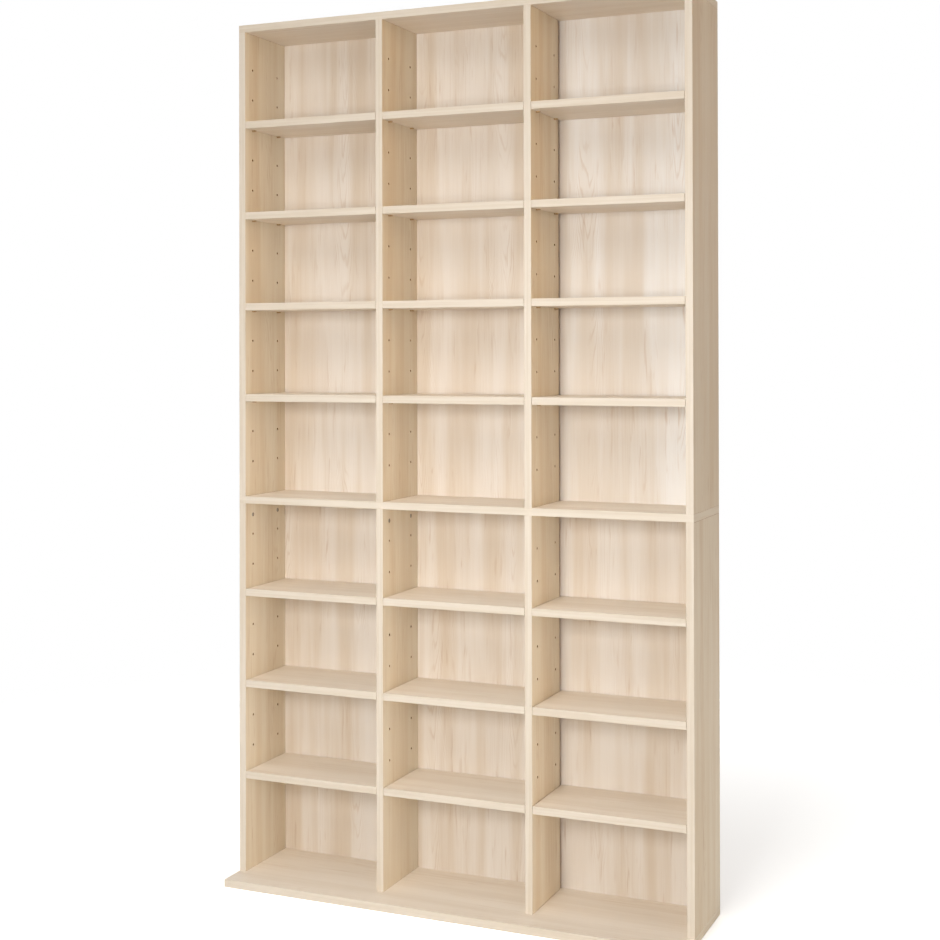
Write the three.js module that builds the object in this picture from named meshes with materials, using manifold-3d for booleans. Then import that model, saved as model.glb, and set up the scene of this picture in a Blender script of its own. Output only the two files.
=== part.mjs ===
// Storage tower for discs: three columns of nine compartments made of laminated boards.
// Millimetres, +Z up. The front faces -Y. The origin is on the floor under the middle of the outline.
import * as THREE from 'three';
import { mergeVertices } from 'three/addons/utils/BufferGeometryUtils.js';
import Module from 'manifold-3d';

const wasm = await Module();
wasm.setup();

// Boards of the carcass
const boardThickness = 15;
const baseThickness = 16;
const columnClearWidth = 308;
const carcassDepth = 190;
const baseOverhang = 60;
const lowerPanelHeight = 774;
const upperPanelHeight = 980;

// Thin backs, and the grooves that hold their edges
const backThickness = 3;
const backInset = 22;
const grooveDepth = 5;
const grooveClearance = 0.3;
const wideGrooveReveal = 9;

// Loose shelves
const shelfEndClearance = 0.5;
const shelfBackClearance = 1;
const shelfSeatGap = 0.3;

// Rows of holes for the shelf pins, and the pins
const holePitch = 64;
const holeDiameter = 5;
const holeDepth = 6.5;
const holeFrontMargin = 30;
const holeBackMargin = 33;
const lowerFirstHole = 195;
const upperFirstHole = 72;
const pinReach = 8;
const pinRadius = 3;

// Screws through the base and through the ends of the top
const screwLength = 50;
const screwHeadDiameter = 10;
const screwHeadHeight = 3.5;
const screwNeckDiameter = 7;
const screwNeckEnd = 11;
const screwThreadDiameter = 5.5;
const screwTipLength = 3;
const screwSocketWidth = 4;
const screwSocketDepth = 2;
const screwRecess = 0.5;

// Bolts that tie the lower panels, the middle board and the upper panels
const boltDiameter = 5;
const boltDrop = 26;
const boltTail = 7;
const boltPegDiameter = 8;
const boltPegLength = 25;
const nutDiameter = 8;
const nutBoreDepth = 12.5;
const nutRecess = 0.4;

// Wooden dowels on top of the dividers
const dowelDiameter = 8;
const dowelRise = 10;

// Room around whatever sits in a bore, and how far a cut runs past a face
const boreClearance = 0.3;
const cutOverrun = 2;

// Counts
const holesPerShelf = 3;
const holeSides = 6;
const rodSides = 8;
const pinArcSteps = 4;

const columns = ['left', 'centre', 'right'];
const panels = ['side_left', 'divider_left', 'divider_right', 'side_right'];
const wideGroovePanel = 'divider_right';

// Places that follow from the sizes above
const columnStep = columnClearWidth + boardThickness;
const totalWidth = columns.length * columnStep + boardThickness;
const totalDepth = carcassDepth + baseOverhang;
const leftFace = -totalWidth / 2;
const baseFront = -totalDepth / 2;
const carcassFront = baseFront + baseOverhang;
const carcassRear = carcassFront + carcassDepth;
const backRear = carcassRear - backInset;
const backFront = backRear - backThickness;
const lowerFoot = baseThickness;
const lowerHead = lowerFoot + lowerPanelHeight;
const upperFoot = lowerHead + boardThickness;
const upperHead = upperFoot + upperPanelHeight;
const totalHeight = upperHead + boardThickness;

const pinLines = [carcassFront + holeFrontMargin, backFront - holeBackMargin];
const fastenerLines = [
  { name: 'front', y: pinLines[0] },
  { name: 'rear', y: pinLines[1] },
];

// openBelow is the number of free holes between the panel's foot and its first pin
const levels = [
  { name: 'lower', foot: lowerFoot, head: lowerHead, firstHole: lowerFirstHole, shelves: 3, openBelow: 0 },
  { name: 'upper', foot: upperFoot, head: upperHead, firstHole: upperFirstHole, shelves: 4, openBelow: 2 },
];

// Finishes
const laminate = { color: 0xe6d5c0, roughness: 0.55, metalness: 0 };
const backBoard = { color: 0xe4d4c0, roughness: 0.6, metalness: 0 };
const plated = { color: 0xb9b7b2, roughness: 0.35, metalness: 0.9 };

const tower = new THREE.Group();

// Solids from geometry and back
function solid(geometry) {
  const bare = geometry.clone();
  bare.deleteAttribute('normal');
  bare.deleteAttribute('uv');
  const merged = mergeVertices(bare);
  const index = merged.index.array;
  const triangles = [];
  for (let i = 0; i < index.length; i += 3) {
    const [a, b, c] = [index[i], index[i + 1], index[i + 2]];
    if (a !== b && b !== c && c !== a) triangles.push(a, b, c);
  }
  return new wasm.Manifold(new wasm.Mesh({
    numProp: 3,
    vertProperties: new Float32Array(merged.attributes.position.array),
    triVerts: new Uint32Array(triangles),
  }));
}

function addPiece(name, body, finish) {
  const mesh = body.getMesh();
  const geometry = new THREE.BufferGeometry();
  geometry.setAttribute('position', new THREE.BufferAttribute(mesh.vertProperties, 3));
  geometry.setIndex(new THREE.BufferAttribute(mesh.triVerts, 1));
  geometry.computeVertexNormals();
  const piece = new THREE.Mesh(geometry, new THREE.MeshStandardMaterial(finish));
  piece.name = name;
  tower.add(piece);
}

// A box between two corners
function block(low, high) {
  const geometry = new THREE.BoxGeometry(high[0] - low[0], high[1] - low[1], high[2] - low[2]);
  geometry.translate((low[0] + high[0]) / 2, (low[1] + high[1]) / 2, (low[2] + high[2]) / 2);
  return solid(geometry);
}

// A round bar along X, from one x to another
function barAlongX(diameter, sides, xStart, xEnd, y, z) {
  const radius = diameter / 2;
  const geometry = new THREE.CylinderGeometry(radius, radius, Math.abs(xEnd - xStart), sides);
  geometry.rotateZ(Math.PI / 2);
  geometry.translate((xStart + xEnd) / 2, y, z);
  return solid(geometry);
}

// A round bar along Z, from one height to another
function barAlongZ(diameter, sides, x, y, zStart, zEnd) {
  const radius = diameter / 2;
  const geometry = new THREE.CylinderGeometry(radius, radius, zEnd - zStart, sides);
  geometry.rotateX(Math.PI / 2);
  geometry.translate(x, y, (zStart + zEnd) / 2);
  return solid(geometry);
}

// The half-round end of a shelf pin: flat on top, level with the middle of its hole
function pinBar(xStart, xEnd, y, z) {
  const outline = new THREE.Shape();
  outline.absarc(0, 0, pinRadius, Math.PI, 2 * Math.PI, false);
  outline.closePath();
  const geometry = new THREE.ExtrudeGeometry(outline, {
    depth: xEnd - xStart,
    bevelEnabled: false,
    curveSegments: pinArcSteps,
  });
  const lyingAlongX = new THREE.Matrix4().makeBasis(
    new THREE.Vector3(0, 1, 0),
    new THREE.Vector3(0, 0, 1),
    new THREE.Vector3(1, 0, 0),
  );
  geometry.applyMatrix4(lyingAlongX);
  geometry.translate(xStart, y, z);
  return solid(geometry);
}

function panelLeft(i) {
  return leftFace + i * columnStep;
}

function panelMiddle(i) {
  return panelLeft(i) + boardThickness / 2;
}

// Where a back of column j ends inside the grooves, without its clearance
function grooveSpan(j) {
  return [panelLeft(j) + boardThickness - grooveDepth, panelLeft(j + 1) + grooveDepth];
}

function holeHeight(level, k) {
  return level.foot + level.firstHole + k * holePitch;
}

function holdsPin(level, k) {
  return k >= level.openBelow && (k - level.openBelow) % holesPerShelf === 0;
}

// An upright panel: drilled and grooved on each face that looks into a column
function uprightPanel(i, level) {
  const x0 = panelLeft(i);
  const x1 = x0 + boardThickness;
  let body = block([x0, carcassFront, level.foot], [x1, carcassRear, level.head]);
  const faces = [];
  if (i > 0) faces.push({ x: x0, into: 1 });
  if (i < panels.length - 1) faces.push({ x: x1, into: -1 });
  for (const face of faces) {
    body = body.subtract(panelGroove(i, face, level));
    body = drillAndPin(body, face, level);
  }
  return body;
}

function panelGroove(i, face, level) {
  const isWide = panels[i] === wideGroovePanel && face.into < 0;
  const reveal = isWide ? wideGrooveReveal : grooveClearance;
  const inside = face.x + face.into * grooveDepth;
  const outside = face.x - face.into * cutOverrun;
  const low = [Math.min(inside, outside), backFront - reveal, level.foot - cutOverrun];
  const high = [Math.max(inside, outside), backRear + grooveClearance, level.head + cutOverrun];
  return block(low, high);
}

// Free holes are cut, and a pin fills each hole that carries a shelf
function drillAndPin(body, face, level) {
  const holeCount = level.openBelow + level.shelves * holesPerShelf;
  for (let k = 0; k < holeCount; k += 1) {
    const z = holeHeight(level, k);
    for (const y of pinLines) {
      const bottom = face.x + face.into * holeDepth;
      if (holdsPin(level, k)) {
        const tip = face.x - face.into * pinReach;
        body = body.add(pinBar(Math.min(bottom, tip), Math.max(bottom, tip), y, z));
      } else {
        const mouth = face.x - face.into * cutOverrun;
        body = body.subtract(barAlongX(holeDiameter, holeSides, bottom, mouth, y, z));
      }
    }
  }
  return body;
}

// The face that shows the cross nut of a bolt: the one towards the middle column
function nutFace(i) {
  return i < panels.length / 2
    ? { x: panelLeft(i) + boardThickness, into: -1 }
    : { x: panelLeft(i), into: 1 };
}

// Bores in the head of a lower panel for the bolts and their cross nuts
function cutBoltBores(body, i) {
  const face = nutFace(i);
  for (const line of fastenerLines) {
    const tail = lowerHead - boltDrop - boltTail - boreClearance;
    const wide = boltDiameter + 2 * boreClearance;
    const nutWide = nutDiameter + 2 * boreClearance;
    const bottom = face.x + face.into * nutBoreDepth;
    const mouth = face.x - face.into * cutOverrun;
    body = body.subtract(barAlongZ(wide, rodSides, panelMiddle(i), line.y, tail, lowerHead + cutOverrun));
    body = body.subtract(barAlongX(nutWide, rodSides, bottom, mouth, line.y, lowerHead - boltDrop));
  }
  return body;
}

// Bores in the foot of an upper panel for the pegs of the bolts
function cutPegBores(body, i) {
  for (const line of fastenerLines) {
    const wide = boltPegDiameter + 2 * boreClearance;
    const end = upperFoot + boltPegLength + 2 * boreClearance;
    body = body.subtract(barAlongZ(wide, rodSides, panelMiddle(i), line.y, upperFoot - cutOverrun, end));
  }
  return body;
}

// Bores for screws that come from a board's outer face at z, going up or down
function cutScrewBores(body, i, z, direction) {
  for (const line of fastenerLines) {
    const steps = [
      [screwHeadDiameter, -cutOverrun, screwRecess + screwHeadHeight + boreClearance],
      [screwNeckDiameter, 0, screwRecess + screwNeckEnd + boreClearance],
      [screwThreadDiameter, 0, screwRecess + screwLength + boreClearance],
    ];
    for (const [diameter, from, to] of steps) {
      const ends = [z + direction * from, z + direction * to];
      const wide = diameter + 2 * boreClearance;
      const bore = barAlongZ(wide, rodSides, panelMiddle(i), line.y, Math.min(...ends), Math.max(...ends));
      body = body.subtract(bore);
    }
  }
  return body;
}

// A screw with a hexagon socket, its head at z, going up or down
function screw(i, y, z, direction) {
  const tipStart = screwLength - screwTipLength;
  const profile = [
    [0, 0],
    [screwHeadDiameter / 2, 0],
    [screwHeadDiameter / 2, screwHeadHeight],
    [screwNeckDiameter / 2, screwHeadHeight],
    [screwNeckDiameter / 2, screwNeckEnd],
    [screwThreadDiameter / 2, screwNeckEnd],
    [screwThreadDiameter / 2, tipStart],
    [0, screwLength],
  ].map(([radius, height]) => new THREE.Vector2(radius, height));
  const shape = new THREE.LatheGeometry(profile, rodSides);
  shape.rotateX(direction * Math.PI / 2);
  shape.translate(panelMiddle(i), y, z + direction * screwRecess);
  const ends = [z + direction * (screwRecess + screwSocketDepth), z - direction * cutOverrun];
  const [low, high] = [Math.min(...ends), Math.max(...ends)];
  return solid(shape).subtract(barAlongZ(screwSocketWidth, holeSides, panelMiddle(i), y, low, high));
}

// A bolt with its cross nut below and the peg for the upper panel above
function tieBolt(i, y) {
  const face = nutFace(i);
  const x = panelMiddle(i);
  const nutHeight = lowerHead - boltDrop;
  const pegFoot = upperFoot + boreClearance;
  const pegHead = pegFoot + boltPegLength;
  const nutInner = face.x + face.into * (nutBoreDepth - boreClearance);
  const nutOuter = face.x + face.into * nutRecess;
  const shank = barAlongZ(boltDiameter, rodSides, x, y, nutHeight - boltTail, pegHead);
  const peg = barAlongZ(boltPegDiameter, rodSides, x, y, pegFoot, pegHead);
  return shank.add(peg).add(barAlongX(nutDiameter, rodSides, nutInner, nutOuter, y, nutHeight));
}

// Grooves in a level board for the ends of the backs, in its upper or lower face at z
function cutBoardGrooves(body, z, into) {
  for (let j = 0; j < columns.length; j += 1) {
    const [x0, x1] = grooveSpan(j);
    const ends = [z + into * grooveDepth, z - into * cutOverrun];
    const low = [x0, backFront - grooveClearance, Math.min(...ends)];
    const high = [x1, backRear + grooveClearance, Math.max(...ends)];
    body = body.subtract(block(low, high));
  }
  return body;
}

function levelBoard(front, foot, thickness) {
  return block([leftFace, front, foot], [leftFace + totalWidth, carcassRear, foot + thickness]);
}

function baseBoard() {
  let body = cutBoardGrooves(levelBoard(baseFront, 0, baseThickness), lowerFoot, -1);
  for (let i = 0; i < panels.length; i += 1) body = cutScrewBores(body, i, 0, 1);
  return body;
}

function middleBoard() {
  let body = levelBoard(carcassFront, lowerHead, boardThickness);
  body = cutBoardGrooves(body, lowerHead, 1);
  body = cutBoardGrooves(body, upperFoot, -1);
  const wide = boltDiameter + 2 * boreClearance;
  for (let i = 0; i < panels.length; i += 1) {
    for (const line of fastenerLines) {
      const ends = [lowerHead - cutOverrun, upperFoot + cutOverrun];
      body = body.subtract(barAlongZ(wide, rodSides, panelMiddle(i), line.y, ...ends));
    }
  }
  return body;
}

function isOuterPanel(i) {
  return i === 0 || i === panels.length - 1;
}

function topBoard() {
  let body = cutBoardGrooves(levelBoard(carcassFront, upperHead, boardThickness), upperHead, 1);
  for (let i = 0; i < panels.length; i += 1) {
    if (isOuterPanel(i)) {
      body = cutScrewBores(body, i, totalHeight, -1);
      continue;
    }
    for (const line of fastenerLines) {
      const wide = dowelDiameter + 2 * boreClearance;
      const ends = [upperHead - cutOverrun, upperHead + dowelRise + boreClearance];
      body = body.subtract(barAlongZ(wide, rodSides, panelMiddle(i), line.y, ...ends));
    }
  }
  return body;
}

function lowerPanel(i, level) {
  return cutScrewBores(cutBoltBores(uprightPanel(i, level), i), i, 0, 1);
}

// The dividers carry glued dowels on top, and the sides are bored for the screws
function upperPanel(i, level) {
  let body = cutPegBores(uprightPanel(i, level), i);
  if (isOuterPanel(i)) return cutScrewBores(body, i, totalHeight, -1);
  for (const line of fastenerLines) {
    const ends = [upperHead - dowelRise, upperHead + dowelRise];
    body = body.add(barAlongZ(dowelDiameter, rodSides, panelMiddle(i), line.y, ...ends));
  }
  return body;
}

function backPanel(j, level) {
  const [x0, x1] = grooveSpan(j);
  const low = [x0 + grooveClearance, backFront, level.foot - grooveDepth + grooveClearance];
  const high = [x1 - grooveClearance, backRear, level.head + grooveDepth - grooveClearance];
  return block(low, high);
}

function shelf(j, level, n) {
  const foot = holeHeight(level, level.openBelow + n * holesPerShelf) + shelfSeatGap;
  const low = [panelLeft(j) + boardThickness + shelfEndClearance, carcassFront, foot];
  const high = [panelLeft(j + 1) - shelfEndClearance, backFront - shelfBackClearance, foot + boardThickness];
  return block(low, high);
}

// The tower, from the floor up
addPiece('base_board', baseBoard(), laminate);
addPiece('middle_board', middleBoard(), laminate);
addPiece('top_board', topBoard(), laminate);

for (const level of levels) {
  const build = level.name === 'lower' ? lowerPanel : upperPanel;
  panels.forEach((panel, i) => addPiece(`${panel}_${level.name}`, build(i, level), laminate));
  columns.forEach((column, j) => addPiece(`back_${column}_${level.name}`, backPanel(j, level), backBoard));
}

// Shelves are numbered from the floor up in each column
columns.forEach((column, j) => {
  let number = 0;
  for (const level of levels) {
    for (let n = 0; n < level.shelves; n += 1) {
      number += 1;
      addPiece(`shelf_${column}_${number}`, shelf(j, level, n), laminate);
    }
  }
});

panels.forEach((panel, i) => {
  for (const line of fastenerLines) {
    addPiece(`base_screw_${panel}_${line.name}`, screw(i, line.y, 0, 1), plated);
    addPiece(`tie_bolt_${panel}_${line.name}`, tieBolt(i, line.y), plated);
    if (isOuterPanel(i)) {
      addPiece(`top_screw_${panel}_${line.name}`, screw(i, line.y, totalHeight, -1), plated);
    }
  }
});

export default tower;
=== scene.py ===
"""A storage tower for discs: laminated boards, thin backs, loose shelves on pins, and their fasteners."""

import logging
import math
from collections.abc import Callable, Sequence
from dataclasses import dataclass, field
from enum import Enum, IntEnum
from functools import partial

import bmesh
import bpy
from mathutils import Euler, Matrix, Vector


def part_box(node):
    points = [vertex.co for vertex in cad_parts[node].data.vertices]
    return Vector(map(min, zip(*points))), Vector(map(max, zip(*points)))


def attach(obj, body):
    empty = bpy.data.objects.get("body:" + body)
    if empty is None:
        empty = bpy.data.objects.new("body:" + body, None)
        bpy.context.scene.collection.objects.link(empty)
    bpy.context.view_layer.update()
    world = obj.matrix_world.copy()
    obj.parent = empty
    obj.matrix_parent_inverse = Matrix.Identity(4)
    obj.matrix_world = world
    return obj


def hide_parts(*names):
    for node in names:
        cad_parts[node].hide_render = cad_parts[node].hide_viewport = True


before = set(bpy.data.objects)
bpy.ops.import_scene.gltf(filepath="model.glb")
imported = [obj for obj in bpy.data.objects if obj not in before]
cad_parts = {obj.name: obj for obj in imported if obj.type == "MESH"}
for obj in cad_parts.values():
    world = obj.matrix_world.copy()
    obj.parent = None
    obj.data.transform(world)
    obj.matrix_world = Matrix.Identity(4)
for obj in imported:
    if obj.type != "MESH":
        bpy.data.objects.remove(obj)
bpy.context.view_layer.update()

MM = 0.001
PANELS = ("side_left", "divider_left", "divider_right", "side_right")
COLUMNS = ("left", "centre", "right")
LINES = ("front", "rear")
SHELF_NUMBERS = range(1, 8)
CARCASS = "carcass"
BOARD_SLOT = "laminated_board"
BACK_SLOT = "back_board"
STEEL_SLOT = "plated_steel"
SHIFT_ATTRIBUTE = "board_shift"
WHITE = "#ffffff"
Z_TO_X = Euler((0.0, math.pi / 2, 0.0)).to_matrix().to_4x4()

log = logging.getLogger("tower")

Ring = Callable[[float], float]
Spot = tuple[float, float, float]
Size = tuple[float, float]
Span = tuple[float, float]
Fed = float | Sequence[float] | bpy.types.Node | bpy.types.NodeSocket

# Nearly all of a noise texture's values lie in this range
NOISE_SPAN: Span = (0.3, 0.7)

# A thread's ridge falls to its root within a third of the pitch on each side
THREAD_SLOPE = 3.0

POINTS_PER_FLUTE = 4


class Grain(Enum):
    """The axis that the grain of a board follows."""

    X = 0
    Y = 1
    Z = 2

    def stretch(self, across: float, along: float) -> Spot:
        """Works out how a pattern is scaled so that it is drawn out along the grain.

        Args:
            across: size of the pattern across the grain, in millimetres.
            along: size of the pattern along the grain, in millimetres.

        Returns:
            The factor for each axis, for coordinates in metres.
        """
        factors = [1 / (across * MM)] * 3
        factors[self.value] = 1 / (along * MM)
        return tuple(factors)


class Cover(IntEnum):
    """What covers a side of a board, in the order of the board's materials."""

    FACE = 0
    BAND = 1
    END_BAND = 2
    RAW = 3


class Level(Enum):
    """The halves of the tower, below and above the middle board."""

    LOWER = "lower"
    UPPER = "upper"


def linear(hex_colour: str) -> tuple[float, float, float, float]:
    """Turns an sRGB hex value such as #e6d6c2 into linear colour with full alpha.

    Args:
        hex_colour: the colour, with its hash sign.

    Returns:
        Red, green, blue and alpha.
    """
    parts = [int(hex_colour[i : i + 2], 16) / 255 for i in (1, 3, 5)]
    values = [c / 12.92 if c <= 0.04045 else ((c + 0.055) / 1.055) ** 2.4 for c in parts]
    return (*values, 1.0)


def ends(way: str, span: Span) -> dict[str, float]:
    """The two ends of a range, by the names that its node gives them."""
    return {f"{way} Min": span[0], f"{way} Max": span[1]}


def add_node(
    tree: bpy.types.NodeTree,
    kind: str,
    inputs: dict[int | str, Fed] | None = None,
    **settings: str,
) -> bpy.types.Node:
    """Adds a node with its settings, values and links.

    Args:
        tree: the material's or shape's node tree.
        kind: the node's type name.
        inputs: input name or number, to a value, to the output that feeds it, or to a node whose
            first output feeds it.
        settings: the node's own properties.

    Returns:
        The new node.
    """
    node = tree.nodes.new(kind)
    for name, value in settings.items():
        setattr(node, name, value)
    for key, value in (inputs or {}).items():
        source = value.outputs[0] if isinstance(value, bpy.types.Node) else value
        if isinstance(source, bpy.types.NodeSocket):
            tree.links.new(source, node.inputs[key])
        else:
            node.inputs[key].default_value = source
    return node


@dataclass
class Paint:
    """A material while its pattern is drawn, with the grain along one axis."""

    name: str
    grain: Grain = Grain.Z
    material: bpy.types.Material = field(init=False)
    tree: bpy.types.NodeTree = field(init=False)
    place: bpy.types.Node = field(init=False)

    def __post_init__(self) -> None:
        """Starts an empty tree and the coordinates of the board's own stretch of pattern."""
        self.material = bpy.data.materials.new(self.name)
        self.material.use_nodes = True
        self.tree = self.material.node_tree
        self.tree.nodes.clear()
        coords = add_node(self.tree, "ShaderNodeTexCoord").outputs["Object"]
        shift = add_node(self.tree, "ShaderNodeAttribute", attribute_name=SHIFT_ATTRIBUTE)
        both = {0: coords, 1: shift.outputs["Vector"]}
        self.place = add_node(self.tree, "ShaderNodeVectorMath", both, operation="ADD")

    def cloud(self, size: Size, **texture: float) -> bpy.types.Node:
        """Draws cloudy variation, drawn out along the grain.

        Args:
            size: size across and along the grain, in millimetres.
            texture: the noise's own values, such as its Detail.

        Returns:
            The variation, from 0 to 1.
        """
        stretched = {0: self.place, 1: self.grain.stretch(*size)}
        scaled = add_node(self.tree, "ShaderNodeVectorMath", stretched, operation="MULTIPLY")
        return add_node(self.tree, "ShaderNodeTexNoise", {"Vector": scaled, "Scale": 1.0, **texture})

    def marks(
        self, size: Size, span: Span, amount: float = 1.0, **texture: float
    ) -> bpy.types.Node:
        """Draws soft-edged marks: none below the span of cloudy variation, and full above it."""
        values = {"Value": self.cloud(size, **texture), **ends("From", span), "To Max": amount}
        return add_node(self.tree, "ShaderNodeMapRange", values, interpolation_type="SMOOTHSTEP")

    def layered(self, base: str, *layers: tuple[bpy.types.Node, str]) -> bpy.types.NodeSocket:
        """Lays colours over a base colour, one after the other.

        Args:
            base: the colour underneath.
            layers: pairs of how far a colour covers what is under it, and that colour.

        Returns:
            The colour on top.
        """
        colour = linear(base)
        for cover, top in layers:
            blend = {0: cover, 6: colour, 7: linear(top)}
            colour = add_node(self.tree, "ShaderNodeMix", blend, data_type="RGBA").outputs[2]
        return colour

    def finish(
        self, relief: bpy.types.Node | None = None, depth: float = 0.0, **shader: Fed
    ) -> bpy.types.Material:
        """Adds the surface shader and closes the tree.

        Args:
            relief: height from 0 to 1, or None for a smooth surface.
            depth: real depth of the relief, in millimetres.
            shader: the shader's inputs, with _ for the spaces in their names.

        Returns:
            The finished material.
        """
        inputs = {name.replace("_", " "): value for name, value in shader.items()}
        if relief is not None:
            height = {"Height": relief, "Strength": 1.0, "Distance": depth * MM}
            inputs["Normal"] = add_node(self.tree, "ShaderNodeBump", height)
        surface = add_node(self.tree, "ShaderNodeBsdfPrincipled", inputs)
        add_node(self.tree, "ShaderNodeOutputMaterial", {"Surface": surface})
        return self.material


@dataclass(frozen=True)
class MapleLaminate:
    """Melamine paper printed as pale maple, pressed on particle board."""

    # The press leaves an even satin skin. The print gives fine fibres, short brown flecks in
    # patches, and the arches of growth rings here and there. The finest printed fibres are too
    # thin to show, so they are drawn 3 mm apart.
    name: str = "maple_melamine_laminate"
    face: str = "#f0e5d0"
    shade: str = "#e7d7bd"
    streak: str = "#c4a47c"
    tone_size: Size = (38.0, 900.0)
    tone_span: Span = (0.35, 0.68)
    patch_size: Size = (48.0, 260.0)
    patch_span: Span = (0.42, 0.64)
    fibre_size: Size = (3.2, 130.0)
    fibre_span: Span = (0.42, 0.70)
    fibre_amount: float = 0.18
    fibre_share: float = 0.35
    fleck_size: Size = (5.0, 75.0)
    fleck_span: Span = (0.58, 0.74)
    fleck_amount: float = 0.40
    arch_patch_size: Size = (60.0, 260.0)
    arch_patch_span: Span = (0.46, 0.62)
    arch_amount: float = 0.20
    ring_spacing: float = 58.0
    ring_cloud: Size = (14.0, 120.0)
    ring_wander: float = 2.4
    ring_line: float = 0.22
    heart_width: float = 12.0
    heart_spacing: float = 95.0
    heart_cloud: Size = (70.0, 420.0)
    heart_wander: float = 55.0
    gloss_span: Span = (0.44, 0.56)

    def arches(self, paint: Paint) -> bpy.types.Node:
        """Draws the nested arches of a plain-sawn board, which fall away from its heart.

        Args:
            paint: the material that is being drawn.

        Returns:
            The thin lines between growth rings, from 0 to their amount.
        """
        add = partial(add_node, paint.tree)
        parts = add("ShaderNodeSeparateXYZ", {0: paint.place}).outputs
        others = [part for axis, part in zip(Grain, parts) if axis is not paint.grain]
        across = add("ShaderNodeMath", dict(enumerate(others)), operation="ADD")
        wander = {0: paint.cloud(self.heart_cloud), 1: self.heart_wander * MM, 2: across}
        wavy = add("ShaderNodeMath", wander, operation="MULTIPLY_ADD")
        heart = add("ShaderNodeMath", {0: wavy, 1: self.heart_spacing * MM}, operation="PINGPONG")
        wide = add("ShaderNodeMath", {0: heart, 1: self.heart_width * MM}, operation="DIVIDE")
        fall = add("ShaderNodeMath", {0: wide, 1: 2.0}, operation="POWER")
        along = {0: parts[paint.grain.value], 1: self.ring_spacing * MM}
        climb = add("ShaderNodeMath", along, operation="DIVIDE")
        even = add("ShaderNodeMath", {0: climb, 1: fall}, operation="SUBTRACT")
        wander = {0: paint.cloud(self.ring_cloud), 1: self.ring_wander, 2: even}
        rings = add("ShaderNodeMath", wander, operation="MULTIPLY_ADD")
        lines = add("ShaderNodeMath", {0: rings, 1: 0.5}, operation="PINGPONG")
        thinned = {"Value": lines, "From Max": self.ring_line, **ends("To", (self.arch_amount, 0.0))}
        thin = add("ShaderNodeMapRange", thinned, interpolation_type="SMOOTHSTEP")
        patches = paint.marks(self.arch_patch_size, self.arch_patch_span)
        return add("ShaderNodeMath", {0: thin, 1: patches}, operation="MULTIPLY")

    def build(self, grain: Grain) -> bpy.types.Material:
        """Builds the laminate.

        Args:
            grain: the way of its grain.

        Returns:
            The material.
        """
        paint = Paint(f"{self.name}_{grain.name.lower()}", grain)
        add = partial(add_node, paint.tree)
        tone = paint.marks(self.tone_size, self.tone_span, Detail=3.0)
        patches = paint.marks(self.patch_size, self.patch_span)
        fibre = paint.cloud(self.fibre_size, Detail=3.0, Roughness=0.6)
        drawn = {"Value": fibre, **ends("From", self.fibre_span), "To Max": self.fibre_amount}
        fine = add("ShaderNodeMapRange", drawn, interpolation_type="SMOOTHSTEP")
        density = add("ShaderNodeMath", {0: patches, 1: self.fibre_share}, operation="ADD")
        fibres = add("ShaderNodeMath", {0: fine, 1: density}, operation="MULTIPLY")
        texture = {"Roughness": 0.55, "Distortion": 0.3}
        short = paint.marks(self.fleck_size, self.fleck_span, self.fleck_amount, **texture)
        flecks = add("ShaderNodeMath", {0: short, 1: patches}, operation="MULTIPLY")
        streaks = [(mark, self.streak) for mark in (fibres, flecks, self.arches(paint))]
        colour = paint.layered(self.face, (tone, self.shade), *streaks)
        dulled = {"Value": fibre, **ends("From", NOISE_SPAN), **ends("To", self.gloss_span)}
        gloss = add("ShaderNodeMapRange", dulled)
        return paint.finish(fibre, depth=0.03, Base_Color=colour, Roughness=gloss, IOR=1.48)


@dataclass(frozen=True)
class EdgeBand:
    """Printed paper edging, glued along a board's edge."""

    # It is rolled on, so it is a little smoother and glossier than the faces, and its print is
    # plainer: only faint lines along the edge.
    name: str = "maple_edge_band"
    face: str = "#eadecd"
    shade: str = "#e3d5c1"
    tone_size: Size = (6.0, 260.0)
    tone_span: Span = (0.38, 0.66)
    line_size: Size = (1.8, 120.0)
    line_span: Span = (0.5, 0.75)
    line_amount: float = 0.35
    gloss_span: Span = (0.42, 0.50)

    def build(self, grain: Grain) -> bpy.types.Material:
        """Builds the edging.

        Args:
            grain: the way of its grain.

        Returns:
            The material.
        """
        paint = Paint(f"{self.name}_{grain.name.lower()}", grain)
        tone = paint.marks(self.tone_size, self.tone_span, Detail=3.0)
        texture = {"Detail": 3.0, "Roughness": 0.6}
        lines = paint.marks(self.line_size, self.line_span, self.line_amount, **texture)
        colour = paint.layered(self.face, (tone, self.shade), (lines, self.shade))
        dulled = {"Value": lines, "From Max": self.line_amount, **ends("To", self.gloss_span)}
        gloss = add_node(paint.tree, "ShaderNodeMapRange", dulled)
        return paint.finish(lines, depth=0.02, Base_Color=colour, Roughness=gloss, IOR=1.48)


@dataclass(frozen=True)
class RawParticleBoard:
    """Pressed wood chips, bare where a board is sawn or drilled."""

    # Each chip takes the light differently, so the cut is coarse, matt and speckled.
    name: str = "raw_particle_board"
    pale: str = "#c9a57a"
    brown: str = "#8f6b45"
    chip_width: float = 1.6

    def build(self) -> bpy.types.Material:
        """Builds the cut particle board.

        Returns:
            The material.
        """
        paint = Paint(self.name)
        chip = {"Vector": paint.place, "Scale": 1 / (self.chip_width * MM)}
        chips = add_node(paint.tree, "ShaderNodeTexVoronoi", chip)
        shade = add_node(paint.tree, "ShaderNodeSeparateColor", {0: chips.outputs["Color"]})
        colour = paint.layered(self.brown, (shade, self.pale))
        return paint.finish(shade, depth=0.25, Base_Color=colour, Roughness=0.85, IOR=1.45)


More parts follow.
